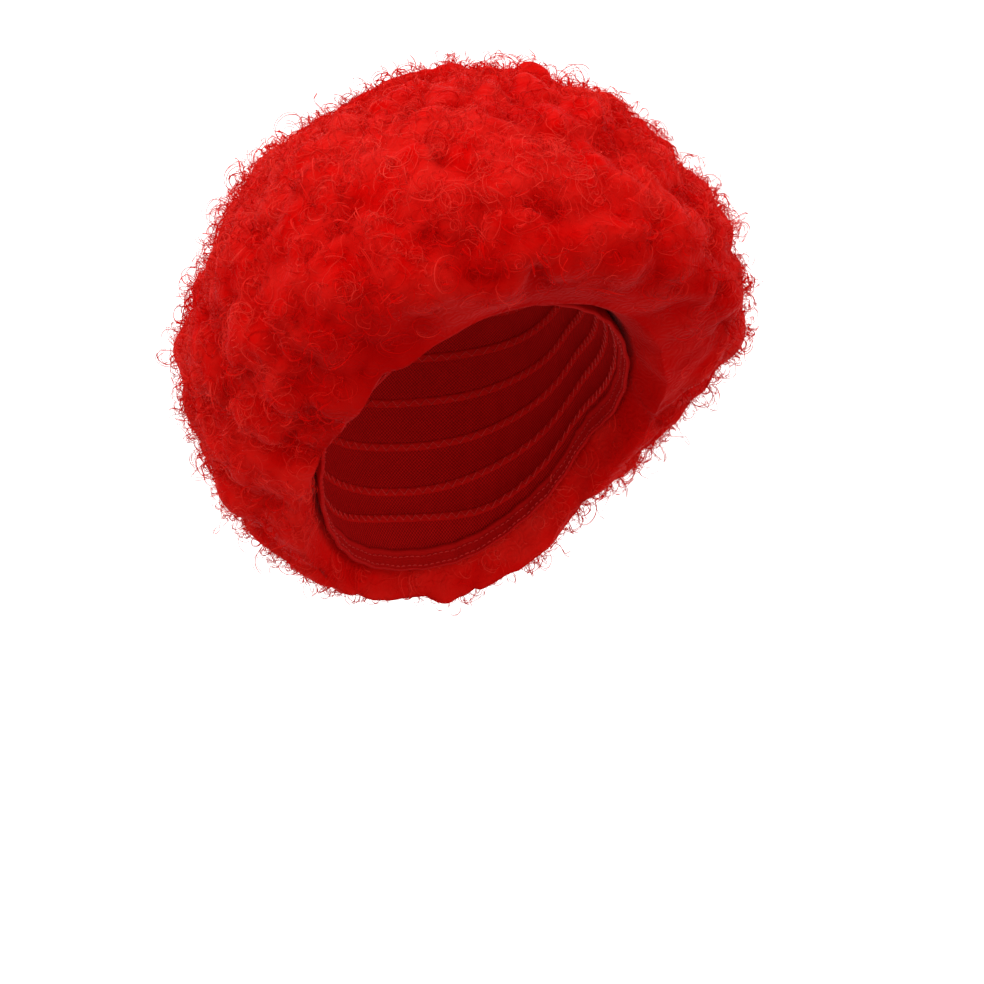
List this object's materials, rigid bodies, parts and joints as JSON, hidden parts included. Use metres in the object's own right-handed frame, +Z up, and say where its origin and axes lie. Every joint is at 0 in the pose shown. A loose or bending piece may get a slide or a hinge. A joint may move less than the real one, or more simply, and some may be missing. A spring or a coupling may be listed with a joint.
{
  "type": "curly wig",
  "caption": "Full round wig of tightly curled fibre, standing out from a stretch net cap with an elastic hem, open below for the head.",
  "frame": {"origin": "highest inner point of the cap, where it sits on the crown of the head", "axes": "+Z up along the head's axis as worn, -Y towards the face, +X towards the wearer's left"},
  "size_m": [0.29, 0.3005, 0.282],
  "materials": {
    "hair": "bright red crimped and curled fibre, soft sheen",
    "net": "dark red knitted stretch net, matte",
    "elastic": "dark red woven elastic with stitching, matte"
  },
  "bodies": {
    "root": {"cap_net": "net", "elastic_hem": "elastic", "weft_row_1": "hair", "weft_row_2": "hair", "weft_row_3": "hair", "weft_row_4": "hair", "weft_row_5": "hair", "weft_row_6": "hair", "weft_row_7": "hair", "weft_row_8": "hair", "weft_row_9": "hair", "crown_tuft": "hair"}
  },
  "joints": []
}
